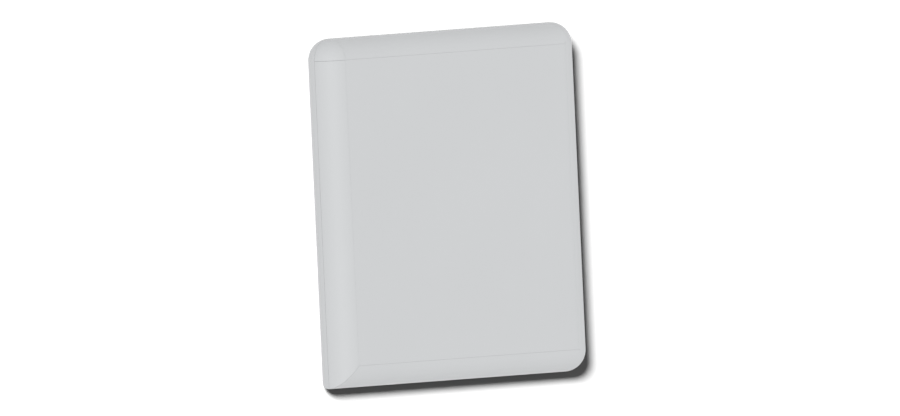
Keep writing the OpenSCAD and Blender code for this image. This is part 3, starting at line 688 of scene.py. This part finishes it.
for piece, finish in ((resistors(), "circuit_board"), (chips(), "black_plastic"),
                      (cans(), "black_plastic")):
    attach(piece, "panel")


# ---- Heat sink and transistors -----------------------------------------------------------------
# A finned aluminium extrusion, anodised black, presses down on a row of four power transistors,
# which are moulded in black epoxy.

black_anodised = metal("black_anodised", (0.05, 0.05, 0.055), 0.42, (900, 30, 900), 0.4)
coat(black_anodised, "heat_sink")
coat(epoxy_black, "power_transistors")


# ---- Tuning capacitors -------------------------------------------------------------------------
# Six dipped film capacitors stand along the foot of the board. The dip leaves each of them a
# rounded drop, blunt at both ends.

dipped_resin = plastic("dipped_resin", (0.60, 0.36, 0.06), 500, 0.16, 0.25)


def dipped_capacitors():
    """Drops of revolution, flattened to 0.72 across Z.

    At the height h, r = 9 (1 - |2 h / 22 - 1|^3.2)^0.42 mm, and at least 0.9 mm.
    """
    count, flattened = 6, 0.72
    low, high = (np.array(c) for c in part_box("tuning_capacitors"))
    tall = high[1] - low[1]
    radius = (high[2] - low[2]) / 2
    heights = np.linspace(0.0, 1.0, 26)
    radii = radius * np.maximum(1 - np.abs(2 * heights - 1) ** 3.2, 0.004) ** 0.42
    shapes = []
    for i in range(count):
        x = low[0] + radius + i * (high[0] - low[0] - 2 * radius) / (count - 1)
        z = (low[2] + high[2]) / 2
        points, faces, slots = lathed((x, low[1], z), (0, 1, 0), heights * tall, radii, None, 36)
        points[:, 2] = z + (points[:, 2] - z) * flattened
        shapes.append((points, faces, slots))
    return joined("dipped_capacitors", shapes, [dipped_resin])


capacitors = dipped_capacitors()
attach(capacitors, "panel")
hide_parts("tuning_capacitors")


# ---- Terminal block ----------------------------------------------------------------------------
# A block moulded in green nylon takes the coil wires. Each of its six wells holds a slotted clamp
# screw of plated steel, and the screws were left turned at different angles.

terminal_nylon = plastic("terminal_nylon", (0.03, 0.25, 0.09), 1300, 0.38, 0.3)
coat(terminal_nylon, "terminal_block")


def terminal_screws():
    """Slotted heads: y = 1.2 + 0.5 (1 - (r / R)^4) mm, less 0.6 mm in a slot 0.7 mm wide."""
    low, high = (np.array(c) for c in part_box("terminal_block"))
    x_mid, z_mid = (low[0] + high[0]) / 2, (low[2] + high[2]) / 2
    shapes = []
    around, rings, radius = 40, 10, 0.0023
    wells, well_pitch = 6, 0.01
    rim, crown, slot_half, slot_depth = 0.0012, 0.0005, 0.00035, 0.0006
    sunk, lean_first, lean_more = 0.0039, 0.5, 0.9
    base = high[1] - sunk
    r = radius * (1 - np.arange(rings) / rings)[:, None]
    a = np.linspace(0, 2 * math.pi, around, endpoint=False)
    here = np.arange((rings + 1) * around).reshape(rings + 1, around)
    after = np.roll(here, -1, 1)
    foot, peak = here[-1], (rings + 1) * around
    for n in range(wells):
        well_x = x_mid + (n - (wells - 1) / 2) * well_pitch
        lean = lean_first + lean_more * n
        cut = np.where(np.abs(r * np.cos(a - lean)) < slot_half, slot_depth, 0)
        lift = rim + crown * (1 - (r / radius) ** 4) - cut
        head = np.stack([well_x + r * np.cos(a), base + lift, z_mid + r * np.sin(a)], -1)
        rim_below = head[0] * (1, 0, 1) + (0, base, 0)
        middle = np.array([[well_x, base + rim + crown - slot_depth, z_mid]])
        points = np.concatenate([head.reshape(-1, 3), rim_below, middle])
        top = np.stack([here[:-2], here[1:-1], after[1:-1], after[:-2]], -1).reshape(-1, 4)
        edge = np.stack([foot, here[0], after[0], after[-1]], -1)
        tip = np.stack([here[-2], np.full(around, peak), after[-2]], -1)
        faces = top.tolist() + edge.tolist() + tip.tolist() + [foot.tolist()]
        shapes.append((points, faces, [0] * len(faces)))
    return joined("terminal_screws", shapes, [zinc_steel])


clamp_heads = terminal_screws()
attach(clamp_heads, "panel")


# ---- Toroid transformer ------------------------------------------------------------------------
# A ring core wound with varnished wire, one turn beside the next all the way round, and clamped
# to the tray by a bolt with a wide flat washer.


def wound_toroid():
    """A ring of section u = a |cos t|^0.6, v = b |sin t|^0.6, with a and b half its width and height.

    At the angle p round the ring, a and b lose 0.45 mm (1 - |cos(60 p)|), which shows 120 turns.
    """
    low, high = (np.array(c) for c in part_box("toroid_transformer"))
    middle = (low + high) / 2
    outer, hole = (high[0] - low[0]) / 2, 0.009
    turns, groove, squareness = 120, 0.00045, 0.6
    p = np.linspace(0, 2 * math.pi, 960, endpoint=False)
    t = np.linspace(0, 2 * math.pi, 44, endpoint=False)
    dip = groove * (1 - np.abs(np.cos(turns / 2 * p)))[:, None]
    u = ((outer - hole) / 2 - dip) * np.sign(np.cos(t)) * np.abs(np.cos(t)) ** squareness
    v = ((high[1] - low[1]) / 2 - dip) * np.sign(np.sin(t)) * np.abs(np.sin(t)) ** squareness
    reach = (outer + hole) / 2 + u
    points = np.stack([middle[0] + reach * np.cos(p)[:, None], middle[1] + v,
                       middle[2] + reach * np.sin(p)[:, None]], -1)
    return grid_piece("toroid_winding", points, [winding_varnish])


toroid = wound_toroid()
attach(toroid, "panel")
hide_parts("toroid_transformer")


# ---- Power supply ------------------------------------------------------------------------------
# A caged supply with vent slots, which stands on the tray. Its cover is galvanised sheet, a soft
# grey with large dull crystals.


def galvanised():
    """Galvanised sheet: cells of slightly different brightness and gloss, as zinc crystals have."""
    mat = bpy.data.materials.new("galvanised_sheet")
    mat.use_nodes = True
    nodes, links = mat.node_tree.nodes, mat.node_tree.links
    shader = nodes["Principled BSDF"]
    shader.inputs["Metallic"].default_value = 1.0
    coords = nodes.new("ShaderNodeTexCoord")
    crystals = nodes.new("ShaderNodeTexVoronoi")
    crystals.inputs["Scale"].default_value = 140
    links.new(coords.outputs["Object"], crystals.inputs["Vector"])
    grey = nodes.new("ShaderNodeMapRange")
    grey.inputs["To Min"].default_value = 0.5
    grey.inputs["To Max"].default_value = 0.68
    links.new(crystals.outputs["Color"], grey.inputs["Value"])
    links.new(grey.outputs["Result"], shader.inputs["Base Color"])
    gloss = nodes.new("ShaderNodeMapRange")
    gloss.inputs["To Min"].default_value = 0.34
    gloss.inputs["To Max"].default_value = 0.48
    links.new(crystals.outputs["Color"], gloss.inputs["Value"])
    links.new(gloss.outputs["Result"], shader.inputs["Roughness"])
    return mat


galvanised_sheet = galvanised()
coat(galvanised_sheet, "power_supply")


# ---- Fuse --------------------------------------------------------------------------------------
# A glass cartridge with plated end caps lies in sprung clips at its two ends. The clips stand on a
# black moulded base on the board.

moulded_black = plastic("moulded_black", (0.032, 0.032, 0.034), 1600, 0.48, 0.4)
fuse_glass = plastic("fuse_glass", (0.55, 0.6, 0.58), 300, 0.08, 0.05)
fuse_glass.node_tree.nodes["Principled BSDF"].inputs["Transmission Weight"].default_value = 0.6


def cartridge_fuse():
    """A turned cartridge: caps of radius 3.1 mm with eased shoulders on a tube of radius 2.7 mm."""
    low, high = (np.array(c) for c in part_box("fuse_holder"))
    middle = (low + high) / 2
    base_high, axis_high, clip_out, clip_side, clip_sunk = 0.003, 0.003, 0.0117, 0.0034, 0.0004
    base_top = low[1] + base_high
    reach, cap, tube = 0.015, 0.0031, 0.0027
    heights = [-reach, -reach + 0.0004, -reach + 0.0012, -0.0092, -0.0088, -0.0086,
               0.0086, 0.0088, 0.0092, reach - 0.0012, reach - 0.0004, reach]
    radii = [cap - 0.0010, cap - 0.0003, cap, cap, cap - 0.0001, tube,
             tube, cap - 0.0001, cap, cap, cap - 0.0003, cap - 0.0010]
    kinds = [1, 1, 1, 1, 1, 0, 1, 1, 1, 1, 1]
    shapes = [lathed((middle[0], base_top + axis_high, middle[2]), (1, 0, 0), heights, radii, kinds)]
    length, width = high[0] - low[0], high[2] - low[2]
    shapes.append(loft((middle[0], low[1], middle[2]),
                       [(length - 0.001, width - 0.001), (length, width), (length, width),
                        (length - 0.001, width - 0.001)], (0.0, 0.0004, 0.0024, base_high), 2))
    for end in (-1, 1):
        for side in (-1, 1):
            foot = (middle[0] + end * clip_out, base_top - clip_sunk, middle[2] + side * clip_side)
            shapes.append(loft(foot, [(0.0046, 0.0005), (0.0046, 0.0005), (0.0040, 0.0005),
                                      (0.0026, 0.0005)], (0.0, 0.0016, 0.0044, 0.0058), 1))
    return joined("cartridge_fuse", shapes, [fuse_glass, tinned_wire, moulded_black])


fuse = cartridge_fuse()
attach(fuse, "panel")
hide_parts("fuse_holder")


# ---- Sounder and switches ----------------------------------------------------------------------
# Black moulded bodies, a red rocker polished by use, and a white plunger whose head stands close
# behind the shut door. The two switches sit on a bent bracket of plated sheet.

coat(moulded_black, "alarm_sounder", "power_switch", "tamper_switch")
rocker_red = plastic("rocker_red", (0.5, 0.03, 0.025), 900, 0.24, 0.12)
coat(rocker_red, "switch_rocker")
plunger_white = plastic("plunger_white", (0.78, 0.78, 0.75), 1400, 0.4, 0.2)
coat(plunger_white, "tamper_plunger")
plated_sheet = metal("plated_sheet", (0.47, 0.485, 0.51), 0.32, (1300, 1300, 24), 0.2)
coat(plated_sheet, "switch_bracket")


# ---- Door lock ---------------------------------------------------------------------------------
# A chromed barrel and nut hold the cam, whose slotted plug fills the barrel. The cam is of plated
# sheet and turns in behind the shell's ledge.

polished_chrome = metal("polished_chrome", (0.66, 0.665, 0.68), 0.1, (120, 120, 120), 0.06)
coat(polished_chrome, "lock_barrel", "lock_nut")
coat(plated_sheet, "lock_cam")


# ---- Wall bracket and cleat --------------------------------------------------------------------
# Two hooked plates of plated sheet, which carry the panel. The bracket stays on the wall and the
# cleat, screwed to the panel's back, hooks over it.

coat(plated_sheet, "wall_bracket", "panel_cleat")


# ---- Cable gland and leads ---------------------------------------------------------------------
# A dark moulded gland with a plated nut. Red wires join the coils to the terminal block, and a
# sheathed black lead runs from the gland to the supply.

gland_nylon = plastic("gland_nylon", (0.1, 0.1, 0.105), 1500, 0.5, 0.3)
coat(gland_nylon, "gland_body", "gland_cap")
coat(zinc_steel, "gland_nut")
red_sleeve = plastic("red_sleeve", (0.45, 0.05, 0.035), 1000, 0.34, 0.15)
coat(red_sleeve, "coil_leads")
black_sheath = plastic("black_sheath", (0.038, 0.038, 0.04), 700, 0.55, 0.25)
coat(black_sheath, "supply_lead")
